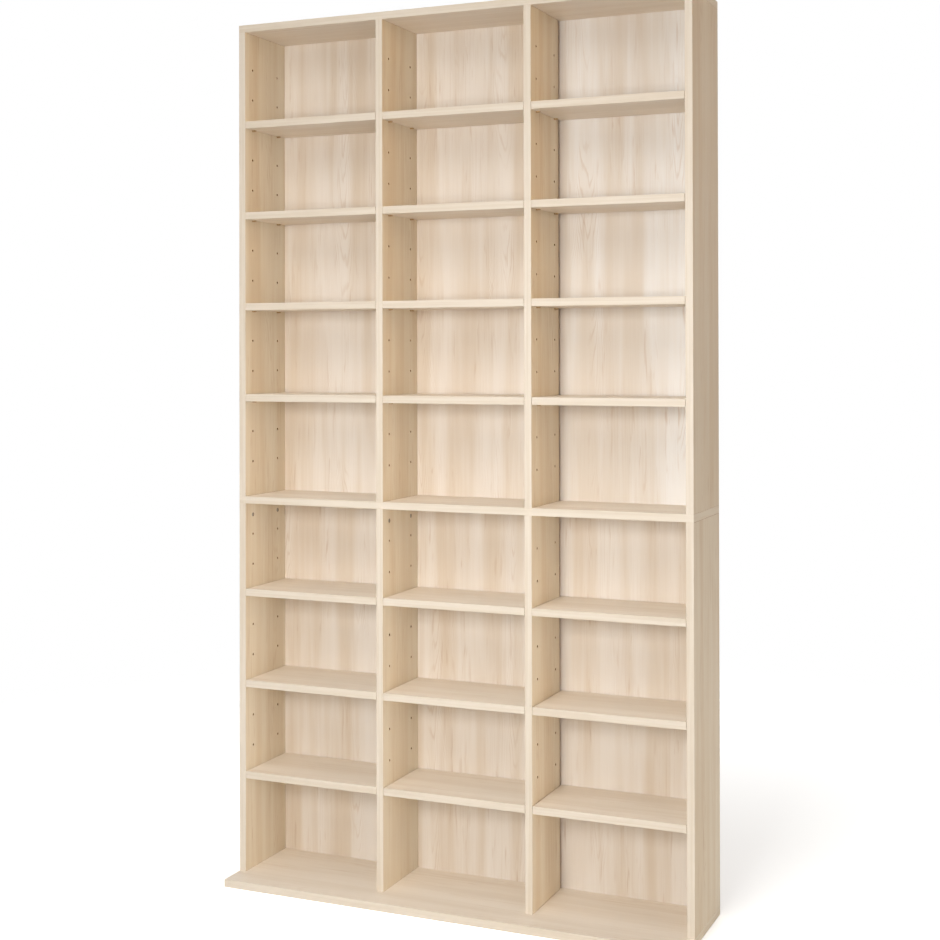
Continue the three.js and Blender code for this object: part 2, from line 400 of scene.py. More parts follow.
@dataclass(frozen=True)
class MapleFoil(MapleLaminate):
    """Paper foil on the front of the thin backs, printed to match the boards."""

    # It is thinner than the laminate and a little paler, and its upright figure is bolder.
    name: str = "maple_paper_foil"
    face: str = "#f4ebe0"
    shade: str = "#e4d4c0"
    streak: str = "#bf9b75"
    tone_size: Size = (46.0, 900.0)
    fleck_size: Size = (7.0, 90.0)
    fibre_amount: float = 0.09
    fleck_amount: float = 0.36
    arch_amount: float = 0.26


@dataclass(frozen=True)
class HardBoard:
    """Pressed fibre board, bare on the rear of the backs."""

    # Brown and matt, mottled where the fibres clump, with the print of the press's wire screen.
    # The real screen is about 1 mm, too fine to show, so it is drawn at 3 mm.
    name: str = "bare_fibre_board"
    pale: str = "#9a7550"
    brown: str = "#7a5836"
    clump_size: Size = (60.0, 60.0)
    screen_pitch: float = 3.0

    def build(self) -> bpy.types.Material:
        """Builds the bare rear face.

        Returns:
            The material.
        """
        paint = Paint(self.name)
        add = partial(add_node, paint.tree)
        parts = add("ShaderNodeSeparateXYZ", {0: paint.place}).outputs
        waves = []
        for axis in (Grain.X, Grain.Z):
            turns = {0: parts[axis.value], 1: 2 * math.pi / (self.screen_pitch * MM)}
            angle = add("ShaderNodeMath", turns, operation="MULTIPLY")
            waves.append(add("ShaderNodeMath", {0: angle}, operation="SINE"))
        weave = add("ShaderNodeMath", dict(enumerate(waves)), operation="MULTIPLY")
        screen = add("ShaderNodeMapRange", {"Value": weave, "From Min": -1.0})
        clumps = paint.marks(self.clump_size, NOISE_SPAN, Detail=5.0, Roughness=0.7)
        colour = paint.layered(self.brown, (clumps, self.pale))
        return paint.finish(screen, depth=0.12, Base_Color=colour, Roughness=0.8, IOR=1.45)


@dataclass(frozen=True)
class PlatedSteel:
    """Turned steel with a thin coat of bright zinc or of bronze."""

    # The coat is dipped on: half-polished, and faintly cloudy where it is thicker.
    name: str = "zinc_plated_steel"
    metal: str = "#b8b2a8"
    cloud: str = "#9a9389"
    cloud_size: Size = (1.5, 1.5)
    gloss_span: Span = (0.28, 0.42)

    def build(self) -> bpy.types.Material:
        """Builds the plated steel.

        Returns:
            The material.
        """
        paint = Paint(self.name)
        cloud = paint.marks(self.cloud_size, NOISE_SPAN, Detail=3.0)
        colour = paint.layered(self.metal, (cloud, self.cloud))
        dulled = {"Value": cloud, **ends("To", self.gloss_span)}
        gloss = add_node(paint.tree, "ShaderNodeMapRange", dulled)
        return paint.finish(Base_Color=colour, Metallic=1.0, Roughness=gloss)


@dataclass(frozen=True)
class Beech:
    """Turned beech, for dowels."""

    # Pinkish tan, matt, with the wood's short dark rays.
    name: str = "turned_beech"
    wood: str = "#d6b18a"
    ray: str = "#a97c54"
    ray_size: Size = (0.6, 3.0)
    ray_span: Span = (0.55, 0.7)
    ray_amount: float = 0.6

    def build(self) -> bpy.types.Material:
        """Builds the beech, with its grain upright.

        Returns:
            The material.
        """
        paint = Paint(self.name)
        rays = paint.marks(self.ray_size, self.ray_span, self.ray_amount)
        colour = paint.layered(self.wood, (rays, self.ray))
        return paint.finish(rays, depth=0.04, Base_Color=colour, Roughness=0.6, IOR=1.45)


class Palette:
    """Every finish of the tower, built once."""

    def __init__(self) -> None:
        """Builds the finishes. The print of the level boards is calmer than that of the panels, and its
        colours are paler and cooler: painted light, for how light falls on level faces and on upright
        ones.
        """
        level = MapleLaminate(
            face="#f4e9da", shade="#ede0cf", fibre_amount=0.11, fleck_amount=0.18, arch_amount=0.12
        )
        self.laminate = {Grain.X: level.build(Grain.X), Grain.Z: MapleLaminate().build(Grain.Z)}
        self.band = {grain: EdgeBand().build(grain) for grain in (Grain.X, Grain.Z)}
        end = EdgeBand(name="maple_end_band", face=MapleLaminate.face, shade=MapleLaminate.shade)
        self.end = end.build(Grain.Y)
        self.raw = RawParticleBoard().build()
        self.foil = MapleFoil().build(Grain.Z)
        # A paler copy of the foil for one back: painted light, for the whiter light on that sheet.
        pale_foil = MapleFoil(name="pale_maple_paper_foil", face="#f7f3ee", shade="#e7dbcc")
        self.pale_foil = pale_foil.build(Grain.Z)
        self.hard_board = HardBoard().build()
        self.zinc = PlatedSteel().build()
        bronze = PlatedSteel(name="bronze_plated_steel", metal="#d4bb96", cloud="#b99a73")
        self.bronze = bronze.build()
        self.beech = Beech().build()


def new_piece(name: str, body: bmesh.types.BMesh, *materials: bpy.types.Material) -> bpy.types.Object:
    """Turns built faces into an object at the origin.

    Args:
        name: the object's name.
        body: the faces, which are freed.
        materials: the object's materials, in the order of the faces' numbers.

    Returns:
        The new object, in the scene.
    """
    mesh = bpy.data.meshes.new(name)
    body.to_mesh(mesh)
    body.free()
    for material in materials:
        mesh.materials.append(material)
    piece = bpy.data.objects.new(name, mesh)
    bpy.context.scene.collection.objects.link(piece)
    return piece


def drop(*pieces: bpy.types.Object) -> None:
    """Removes helper objects and their meshes.

    Args:
        pieces: the objects to remove.
    """
    for piece in pieces:
        mesh = piece.data
        bpy.data.objects.remove(piece)
        bpy.data.meshes.remove(mesh)


def settle(piece: bpy.types.Object) -> bpy.types.Object:
    """Makes what the piece's modifiers give its plain mesh, and removes them.

    Args:
        piece: the piece, with its modifiers set.

    Returns:
        The same piece, without modifiers.
    """
    bpy.context.view_layer.update()
    graph = bpy.context.evaluated_depsgraph_get()
    mesh = bpy.data.meshes.new_from_object(piece.evaluated_get(graph), depsgraph=graph)
    piece.modifiers.clear()
    old = piece.data
    piece.data = mesh
    bpy.data.meshes.remove(old)
    mesh.name = piece.name
    return piece


def merged(name: str, pieces: Sequence[bpy.types.Object]) -> bpy.types.Object:
    """Joins pieces of one finish into one object and drops the originals.

    Args:
        name: the new object's name.
        pieces: the pieces to join.

    Returns:
        The joined object.
    """
    body = bmesh.new()
    for piece in pieces:
        body.from_mesh(piece.data)
    materials = list(pieces[0].data.materials)
    drop(*pieces)
    return new_piece(name, body, *materials)


def hand_over(piece: bpy.types.Object, body: str, slot: str, *nodes: str) -> None:
    """Seats a finished piece on its body and reports it.

    Args:
        piece: the finished piece.
        body: the body that it moves with.
        slot: the piece's material slot; not used.
        nodes: the nodes that it stands for.
    """
    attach(piece, body)
    if nodes:
        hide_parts(*nodes)
    faces = len(piece.data.polygons)
    log.info("%s: %d faces, on %s, for %s", piece.name, faces, body, ", ".join(nodes) or "no node")


def add_block(body: bmesh.types.BMesh, low: Vector, high: Vector) -> None:
    """Adds a box between two corners.

    Args:
        body: the faces that it is added to.
        low: the box's lowest corner.
        high: its highest corner.
    """
    middle = Matrix.Translation((low + high) / 2)
    scale = Matrix.Diagonal((*(high - low), 1))
    bmesh.ops.create_cube(body, size=1, matrix=middle @ scale)


def block(name: str, low: Vector, high: Vector, material: bpy.types.Material) -> bpy.types.Object:
    """Makes a sharp box, for cutting.

    Args:
        name: the object's name.
        low: the box's lowest corner.
        high: its highest corner.
        material: the finish that it leaves on what it cuts.

    Returns:
        The box.
    """
    body = bmesh.new()
    add_block(body, low, high)
    return new_piece(name, body, material)


def round_ring(radius: float) -> Ring:
    """A round section."""
    return lambda angle: radius


def hexagon_ring(across_flats: float) -> Ring:
    """A hexagonal section."""
    sixth = math.pi / 3
    return lambda angle: across_flats / 2 / math.cos(angle % sixth - sixth / 2)


def fluted_ring(radius: float, flutes: int, depth: float) -> Ring:
    """A round section with grooves along it."""
    return lambda angle: radius - depth * (0.5 - 0.5 * math.cos(flutes * angle))


def thread_rings(
    start: float, end: float, root: float, crest: float, pitch: float, steps: int
) -> list[tuple[float, Ring]]:
    """Works out the sections of a screw thread.

    Args:
        start: where the thread begins along the screw.
        end: where it ends.
        root: radius at the bottom of the thread.
        crest: radius at its top.
        pitch: distance from one turn to the next.
        steps: sections in each turn.

    Returns:
        Pairs of a height and its section.
    """
    count = round((end - start) / pitch * steps)
    rings = []
    for i in range(count + 1):
        height = start + (end - start) * i / count

        def section(angle: float, turn: float = height / pitch) -> float:
            """The thread's radius at one angle of this section."""
            phase = (turn - angle / (2 * math.pi)) % 1
            return root + (crest - root) * max(0.0, 1 - abs(phase - 0.5) * THREAD_SLOPE)

        rings.append((height, section))
    return rings


def eased_rings(
    low: float, high: float, easing: float, ring: Ring, end: Ring
) -> list[tuple[float, Ring]]:
    """The heights and sections of a bar from low to high, with its ends eased to a smaller section."""
    return [(low, end), (low + easing, ring), (high - easing, ring), (high, end)]


def turned(
    name: str, rings: Sequence[tuple[float, Ring]], sides: int, material: bpy.types.Material
) -> bpy.types.Object:
    """Makes a closed body from sections along +Z.

    Args:
        name: the object's name.
        rings: pairs of a height and a section, from one end of the surface to the other.
        sides: points in each section.
        material: the body's finish.

    Returns:
        The body, with its axis on the origin.
    """
    body = bmesh.new()
    loops = []
    for height, section in rings:
        angles = [2 * math.pi * i / sides for i in range(sides)]
        points = [(section(a) * math.cos(a), section(a) * math.sin(a), height) for a in angles]
        loops.append([body.verts.new(point) for point in points])
    for low, high in zip(loops, loops[1:]):
        for i in range(sides):
            j = (i + 1) % sides
            body.faces.new((low[i], low[j], high[j], high[i]))
    body.faces.new(loops[0])
    body.faces.new(loops[-1])
    bmesh.ops.recalc_face_normals(body, faces=body.faces)
    return new_piece(name, body, material)


@dataclass(frozen=True)
class Hardware:
    """Sizes that the fasteners share with their bores."""

    # A bore is wider than its fastener by the clearance on each side. The middle of a bolt's
    # cross nut lies bolt_drop below the panel's upper end, and the bolt ends bolt_tail below that.
    clearance: float = 0.3 * MM
    screw_length: float = 50 * MM
    screw_recess: float = 0.5 * MM
    head_diameter: float = 10 * MM
    head_height: float = 3.5 * MM
    neck_diameter: float = 7 * MM
    neck_end: float = 11 * MM
    thread_diameter: float = 5.5 * MM
    bolt_diameter: float = 5 * MM
    bolt_drop: float = 26 * MM
    bolt_tail: float = 7 * MM
    nut_diameter: float = 8 * MM
    nut_depth: float = 12.2 * MM
    peg_diameter: float = 8 * MM
    peg_length: float = 25 * MM
    dowel_diameter: float = 8 * MM
    dowel_half_length: float = 10 * MM


@dataclass
class Layout:
    """Places that all the sub-assemblies share, worked out from the frame's boxes, in metres."""

    hardware: Hardware = Hardware()
    shelf_seat_gap: float = 0.3 * MM
    holes_per_shelf: int = 3
    hole_front_margin: float = 30 * MM
    hole_back_margin: float = 33 * MM
    groove_depth: float = 5 * MM
    groove_clearance: float = 0.3 * MM

    def __post_init__(self) -> None:
        """Reads the boards' boxes."""
        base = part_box("base_board")
        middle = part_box("middle_board")
        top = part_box("top_board")
        self.left = base[0].x
        self.thickness = middle[1].z - middle[0].z
        self.column_step = (base[1].x - base[0].x - self.thickness) / len(COLUMNS)
        self.front = middle[0].y
        self.rear = middle[1].y
        self.floor = base[0].z
        self.top = top[1].z
        self.span: dict[Level, Span] = {
            Level.LOWER: (base[1].z, middle[0].z),
            Level.UPPER: (middle[1].z, top[0].z),
        }
        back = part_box("back_left_lower")
        self.back_front = back[0].y
        self.back_rear = back[1].y
        rear_line = self.back_front - self.hole_back_margin
        self.lines: Span = (self.front + self.hole_front_margin, rear_line)
        feet = [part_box(f"shelf_left_{n}")[0].z - self.shelf_seat_gap for n in SHELF_NUMBERS]
        below = [foot for foot in feet if foot < middle[0].z]
        self.pins: dict[Level, list[float]] = {Level.LOWER: below, Level.UPPER: feet[len(below) :]}
        self.hole_pitch = (feet[1] - feet[0]) / self.holes_per_shelf

    def panel_span(self, i: int) -> Span:
        """The left and right faces of an upright panel."""
        x = self.left + i * self.column_step
        return x, x + self.thickness

    def panel_middle(self, i: int) -> float:
        """The middle of an upright panel's thickness."""
        return sum(self.panel_span(i)) / 2

    def is_outer(self, i: int) -> bool:
        """Whether an upright panel is one of the tower's two sides."""
        return i in (0, len(PANELS) - 1)

    def inner_faces(self, i: int) -> list[tuple[float, int]]:
        """The faces of a panel that look into a column.

        Args:
            i: the panel's number from the left.

        Returns:
            Each face's place along X, with the way into the board, 1 or -1.
        """
        low, high = self.panel_span(i)
        faces = []
        if i > 0:
            faces.append((low, 1))
        if i < len(PANELS) - 1:
            faces.append((high, -1))
        return faces

    def nut_face(self, i: int) -> tuple[float, int]:
        """The face that shows a bolt's cross nut: the one towards the middle column."""
        low, high = self.panel_span(i)
        return (high, -1) if i < len(PANELS) / 2 else (low, 1)


def facing(into: int) -> Spot:
    """The turn that points a part made along +X out of a board, given the way into the board."""
    return (0.0, 0.0, math.pi if into > 0 else 0.0)


class RowMaker:
    """Sets copies of a part out on the front and rear lines of holes, with a node tree."""

    def __init__(self, layout: Layout) -> None:
        """Builds the tree with its named inputs.

        Args:
            layout: the places of the two lines of holes.
        """
        self.layout = layout
        tree = bpy.data.node_groups.new("rows_of_one_part", "GeometryNodeTree")
        inputs = {
            "Part": "NodeSocketObject",
            "Finish": "NodeSocketMaterial",
            "Start": "NodeSocketVector",
            "Step": "NodeSocketVector",
            "Count": "NodeSocketInt",
            "Row Step": "NodeSocketVector",
            "Rows": "NodeSocketInt",
            "Turn": "NodeSocketVector",
        }
        self.sockets = {
            name: tree.interface.new_socket(name, in_out="INPUT", socket_type=kind).identifier
            for name, kind in inputs.items()
        }
        tree.interface.new_socket("Geometry", in_out="OUTPUT", socket_type="NodeSocketGeometry")
        given = add_node(tree, "NodeGroupInput").outputs
        part = add_node(tree, "GeometryNodeObjectInfo", {"Object": given["Part"]}).outputs["Geometry"]
        places = {"Count": given["Count"], "Offset": given["Step"]}
        line = add_node(tree, "GeometryNodeMeshLine", places)
        copies = {"Points": line, "Instance": part, "Rotation": given["Turn"]}
        row = add_node(tree, "GeometryNodeInstanceOnPoints", copies)
        places = {"Count": given["Rows"], "Start Location": given["Start"], "Offset": given["Row Step"]}
        starts = add_node(tree, "GeometryNodeMeshLine", places)
        rows = add_node(tree, "GeometryNodeInstanceOnPoints", {"Points": starts, "Instance": row})
        real = add_node(tree, "GeometryNodeRealizeInstances", {"Geometry": rows})
        finished = {"Geometry": real, "Material": given["Finish"]}
        dressed = add_node(tree, "GeometryNodeSetMaterial", finished)
        add_node(tree, "NodeGroupOutput", {0: dressed})
        self.tree = tree

    def lay(
        self,
        name: str,
        part: bpy.types.Object,
        x: float,
        z: float,
        step: Spot = (0.0, 0.0, 0.0),
        count: int = 1,
        turn: Spot = (0.0, 0.0, 0.0),
    ) -> bpy.types.Object:
        """Lays copies of a part out in two rows, one on each line of holes.

        Args:
            name: the new object's name.
            part: the part, made round the origin.
            x: the place of the first copy of each row, in metres.
            z: its height.
            step: from one copy to the next in a row.
            count: copies in a row.
            turn: how each copy is turned, in radians about X, Y and Z.

        Returns:
            One plain mesh with all the copies.
        """
        front, rear = self.layout.lines
        piece = new_piece(name, bmesh.new())
        modifier = piece.modifiers.new("rows", "NODES")
        modifier.node_group = self.tree
        values = {
            "Part": part,
            "Finish": part.data.materials[0],
            "Start": (x, front, z),
            "Step": step,
            "Count": count,
            "Row Step": (0.0, rear - front, 0.0),
            "Rows": len(self.layout.lines),
            "Turn": turn,
        }
        for socket, value in values.items():
            modifier[self.sockets[socket]] = value
        return settle(piece)


@dataclass
class BoardMaker:
    """Cuts, edges and drills boards."""

    # The print moves on by shift_step metres from one board to the next, and starts again at
    # shift_limit. An eased edge counts to each side that its normal leans to by more than
    # least_turn. It is banded where one of those sides is, or else raw where one of them is.
    palette: Palette
    count: int = 0
    rounding: float = 0.4 * MM
    rounding_steps: int = 2
    least_turn: float = 0.3
    shift_step: Spot = (0.731, 0.417, 1.113)
    shift_limit: float = 4.0

    def mark(self, piece: bpy.types.Object) -> None:
        """Gives a board its own stretch of the printed pattern.

        Args:
            piece: the board.
        """
        self.count += 1
        shift = [(self.count * step) % self.shift_limit for step in self.shift_step]
        layer = piece.data.attributes.new(SHIFT_ATTRIBUTE, "FLOAT_VECTOR", "POINT")
        layer.data.foreach_set("vector", shift * len(piece.data.vertices))

    def cover(self, normal: Vector, grain: Grain, across: Cover, level: Cover) -> Cover:
        """Picks the covering of a face from the way that it looks.

        Args:
            normal: the face's normal.
            grain: the board's grain.
            across: what covers the board's left and right sides.
            level: what covers its upper and lower sides.

        Returns:
            The covering. The front is banded and the rear is raw.
        """
        covers = (across, Cover.BAND if normal.y < 0 else Cover.RAW, level)
        touched = {
            axis: side
            for axis, side in zip(Grain, covers)
            if abs(normal[axis.value]) > self.least_turn
        }
        for axis, side in touched.items():
            if side is Cover.BAND:
                return Cover.END_BAND if axis is grain else Cover.BAND
        return Cover.RAW if Cover.RAW in touched.values() else Cover.FACE

    def board(
        self, name: str, low: Vector, high: Vector, grain: Grain, across: Cover, level: Cover
    ) -> bpy.types.Object:
        """Makes a board with eased edges, banded in front and raw behind.

        Args:
            name: the object's name.
            low: the board's lowest corner.
            high: its highest corner.
            grain: the way of its grain.
            across: what covers its left and right sides.
            level: what covers its upper and lower sides.

        Returns:
            The board.
        """
        body = bmesh.new()
        add_block(body, low, high)
        bmesh.ops.bevel(
            body, geom=list(body.edges), offset=self.rounding, segments=self.rounding_steps,
            profile=0.5, affect="EDGES", clamp_overlap=True,
        )
        for face in body.faces:
            face.normal_update()
            face.material_index = self.cover(face.normal, grain, across, level)
        palette = self.palette
        materials = (palette.laminate[grain], palette.band[grain], palette.end, palette.raw)
        return new_piece(name, body, *materials)

    def cut(self, board: bpy.types.Object, cutters: Sequence[bpy.types.Object]) -> bpy.types.Object:
        """Cuts bodies out of a board, one after the other, and drops them.

        Args:
            board: the board.
            cutters: the closed bodies to cut out of it.

        Returns:
            The same board, cut.
        """
        for cutter in cutters:
            modifier = board.modifiers.new("cut", "BOOLEAN")
            modifier.operation = "DIFFERENCE"
            modifier.solver = "EXACT"
            modifier.material_mode = "TRANSFER"
            modifier.object = cutter
        settle(board)
        drop(*cutters)
        return board

    def finish(self, board: bpy.types.Object, body: str, slot: str, node: str) -> None:
        """Gives a finished board its stretch of the print, and seats it on its body."""
        self.mark(board)
        hand_over(board, body, slot, node)


@dataclass
class Bores:
    """Bores for the fasteners and the pins, with the same sizes as in the frame."""

    layout: Layout
    maker: RowMaker
    raw: bpy.types.Material
    overrun: float = 2 * MM
    sides: int = 24

    def drilled(
        self, diameter: float, reach: Span, x: float, z: float, **row: int | Spot
    ) -> bpy.types.Object:
        """Makes a cutter for bores on the two lines of holes.

        Args:
            diameter: the bores' diameter.
            reach: where each bore begins and ends, along its own axis.
            x: the place of the first bore of each row.
            z: its height.
            row: the rows' further values, as RowMaker.lay takes them.

        Returns:
            The cutter, as one mesh.
        """
        ring = round_ring(diameter / 2)
        part = turned("drill", [(height, ring) for height in reach], self.sides, self.raw)
        cutter = self.maker.lay("bores", part, x, z, **row)
        drop(part)
        return cutter

    def upright(self, i: int, diameter: float, low: float, high: float) -> bpy.types.Object:
        """Makes the cutter for a panel's two upright bores, for fasteners of that diameter."""
        wide = diameter + 2 * self.layout.hardware.clearance
        return self.drilled(wide, (0.0, high - low), self.layout.panel_middle(i), low)


@dataclass
class PinHoles:
    """Rows of holes for the shelf pins."""

    layout: Layout
    bores: Bores
    diameter: float = 5 * MM
    depth: float = 6.5 * MM
    overrun: float = 1 * MM
    open_below: dict[Level, int] = field(default_factory=lambda: {Level.LOWER: 0, Level.UPPER: 2})

    def cutter(self, face: float, into: int, level: Level) -> bpy.types.Object:
        """Makes the cutter for all the holes in one face of a panel.

        Args:
            face: where the face lies along X.
            into: the way into the board, 1 or -1.
            level: the half of the tower.

        Returns:
            The cutter, as one mesh.
        """
        pitch = self.layout.hole_pitch
        feet = self.layout.pins[level]
        below = self.open_below[level]
        return self.bores.drilled(
            self.diameter,
            (-self.overrun, self.depth),
            x=face,
            z=feet[0] - below * pitch,
            step=(0.0, 0.0, pitch),
            count=below + len(feet) * self.layout.holes_per_shelf,
            turn=(0.0, into * math.pi / 2, 0.0),
        )


@dataclass
class UprightPanels:
    """The two sides and two dividers of each half."""

    layout: Layout
    boards: BoardMaker
    holes: PinHoles
    bores: Bores
    wide_groove_reveal: float = 9 * MM
    wide_groove_panel: str = "divider_right"

    def groove(self, i: int, face: float, into: int, level: Level) -> bpy.types.Object:
        """Makes the cutter for the groove that holds a back's edge.

        Args:
            i: the panel's number from the left.
            face: where the face lies along X.
            into: the way into the board, 1 or -1.
            level: the half of the tower.

        Returns:
            The cutter.
        """
        layout = self.layout
        wide = PANELS[i] == self.wide_groove_panel and into < 0
        reveal = self.wide_groove_reveal if wide else layout.groove_clearance
        over = self.bores.overrun
        sides = sorted((face + into * layout.groove_depth, face - into * over))
        low, high = layout.span[level]
        return block(
            "groove",
            Vector((sides[0], layout.back_front - reveal, low - over)),
            Vector((sides[1], layout.back_rear + layout.groove_clearance, high + over)),
            self.boards.palette.raw,
        )

    def nut_bores(self, i: int, head: float) -> bpy.types.Object:
        """Makes the cutter for the bores of the cross nuts.

        Args:
            i: the panel's number from the left.
            head: the height of the panel's upper end.

        Returns:
            The cutter, as one mesh.
        """
        face, into = self.layout.nut_face(i)
        hardware = self.layout.hardware
        return self.bores.drilled(
            hardware.nut_diameter + 2 * hardware.clearance,
            (-self.bores.overrun, hardware.nut_depth + hardware.clearance),
            x=face,
            z=head - hardware.bolt_drop,
            turn=(0.0, into * math.pi / 2, 0.0),
        )

    def fastener_cutters(self, i: int, level: Level) -> list[bpy.types.Object]:
        """Makes the cutters for the screws, bolts, pegs and dowels in one panel.

        Args:
            i: the panel's number from the left.
            level: the half of the tower.

        Returns:
            The cutters.
        """
        hardware = self.layout.hardware
        low, high = self.layout.span[level]
        over = self.bores.overrun
        upright = self.bores.upright
        screw_end = hardware.screw_length + hardware.screw_recess + hardware.clearance
        if level is Level.LOWER:
            bolt_foot = high - hardware.bolt_drop - hardware.bolt_tail - hardware.clearance
            return [
                upright(i, hardware.thread_diameter, low - over, self.layout.floor + screw_end),
                upright(i, hardware.bolt_diameter, bolt_foot, high + over),
                self.nut_bores(i, high),
            ]
        peg_head = low + hardware.peg_length + 2 * hardware.clearance
        if self.layout.is_outer(i):
            diameter, foot = hardware.thread_diameter, self.layout.top - screw_end
        else:
            diameter, foot = hardware.dowel_diameter, high - hardware.dowel_half_length
        return [
            upright(i, hardware.peg_diameter, low - over, peg_head),
            upright(i, diameter, foot, high + over),
        ]

    def build(self) -> None:
        """Builds the eight panels."""
        for level in Level:
            low, high = self.layout.span[level]
            for i, panel in enumerate(PANELS):
                left, right = self.layout.panel_span(i)
                node = f"{panel}_{level.value}"
                board = self.boards.board(
                    f"{node}_panel",
                    Vector((left, self.layout.front, low)),
                    Vector((right, self.layout.rear, high)),
                    Grain.Z,
                    across=Cover.FACE,
                    level=Cover.RAW,
                )
                cutters = self.fastener_cutters(i, level)
                for face, into in self.layout.inner_faces(i):
                    cutters.append(self.groove(i, face, into, level))
                    cutters.append(self.holes.cutter(face, into, level))
                self.boards.cut(board, cutters)
                self.boards.finish(board, CARCASS, BOARD_SLOT, node)


@dataclass
class LevelBoards:
    """The base, middle and top boards, which run the tower's full width."""

    layout: Layout
    boards: BoardMaker
    bores: Bores

    def grooves(self, z: float, into: int) -> list[bpy.types.Object]:
        """Makes the cutters for the ends of the backs.

        Args:
            z: the height of the face that they are cut into.
            into: the way into the board, 1 or -1.

        Returns:
            One cutter for each column.
        """
        layout = self.layout
        cutters = []
        heights = sorted((z + into * layout.groove_depth, z - into * self.bores.overrun))
        for j in range(len(COLUMNS)):
            left = layout.panel_span(j)[1] - layout.groove_depth
            right = layout.panel_span(j + 1)[0] + layout.groove_depth
            low = Vector((left, layout.back_front - layout.groove_clearance, heights[0]))
            high = Vector((right, layout.back_rear + layout.groove_clearance, heights[1]))
            cutters.append(block("groove", low, high, self.boards.palette.raw))
        return cutters

    def screw_bores(self, i: int, z: float, direction: int) -> list[bpy.types.Object]:
        """Makes the stepped cutters for a pair of screws.

        Args:
            i: the number, from the left, of the panel that the screws hold.
            z: the height of the face that they start from.
            direction: the way that they point, 1 for up or -1 for down.

        Returns:
            The cutters, from the widest to the narrowest.
        """
        hardware = self.layout.hardware
        steps = (
            (hardware.head_diameter, hardware.head_height),
            (hardware.neck_diameter, hardware.neck_end),
            (hardware.thread_diameter, hardware.screw_length),
        )
        cutters = []
        for diameter, end in steps:
            reach = hardware.screw_recess + end + hardware.clearance
            heights = sorted((z - direction * self.bores.overrun, z + direction * reach))
            cutters.append(self.bores.upright(i, diameter, *heights))
        return cutters

    def cutters(self) -> dict[str, list[bpy.types.Object]]:
        """Makes the cutters for the backs' grooves and the fasteners of all three boards.

        Returns:
            The cutters of each board, by its node.
        """
        layout = self.layout
        hardware = layout.hardware
        over = self.bores.overrun
        lower_foot, lower_head = layout.span[Level.LOWER]
        upper_foot, upper_head = layout.span[Level.UPPER]
        base = self.grooves(lower_foot, -1)
        middle = self.grooves(lower_head, 1) + self.grooves(upper_foot, -1)
        top = self.grooves(upper_head, 1)
        bolt_ends = (lower_head - over, upper_foot + over)
        dowel_head = upper_head + hardware.dowel_half_length + hardware.clearance
        dowel_ends = (upper_head - over, dowel_head)
        for i in range(len(PANELS)):
            base += self.screw_bores(i, layout.floor, 1)
            middle.append(self.bores.upright(i, hardware.bolt_diameter, *bolt_ends))
            if layout.is_outer(i):
                top += self.screw_bores(i, layout.top, -1)
            else:
                top.append(self.bores.upright(i, hardware.dowel_diameter, *dowel_ends))
        return {"base_board": base, "middle_board": middle, "top_board": top}

    def build(self) -> None:
        """Builds the three boards."""
        for node, cutters in self.cutters().items():
            name = f"{node}_edged"
            board = self.boards.board(name, *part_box(node), Grain.X, across=Cover.BAND, level=Cover.FACE)
            self.boards.cut(board, cutters)
            self.boards.finish(board, CARCASS, BOARD_SLOT, node)


@dataclass
class Shelves:
    """The loose shelves, each a body of its own."""

    boards: BoardMaker

    def build(self) -> None:
        """Builds the shelves, column by column from the floor up."""
        for column in COLUMNS:
            for n in SHELF_NUMBERS:
                node = f"shelf_{column}_{n}"
                name = f"{node}_edged"
                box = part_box(node)
                board = self.boards.board(name, *box, Grain.X, across=Cover.RAW, level=Cover.FACE)
                self.boards.finish(board, node, BOARD_SLOT, node)


@dataclass
class Backs:
    """The thin backs, foiled in front and bare behind."""

    boards: BoardMaker
    easing: float = 0.2 * MM
    foiled_turn: float = 0.9
    # The back whose foil is drawn paler, as painted light.
    painted_light_back: str = "back_right_upper"

    def build(self) -> None:
        """Builds the six backs. One sheet's foil is paler: painted light, for the whiter light that falls
        on that sheet.
        """
        palette = self.boards.palette
        for level in Level:
            for column in COLUMNS:
                node = f"back_{column}_{level.value}"
                body = bmesh.new()
                add_block(body, *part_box(node))
                edges = list(body.edges)
                bmesh.ops.bevel(body, geom=edges, offset=self.easing, segments=1, affect="EDGES")
                for face in body.faces:
                    face.normal_update()
                    face.material_index = 0 if face.normal.y < -self.foiled_turn else 1
                foil = palette.pale_foil if node == self.painted_light_back else palette.foil
                sheet = new_piece(f"{node}_sheet", body, foil, palette.hard_board)
                self.boards.finish(sheet, CARCASS, BACK_SLOT, node)


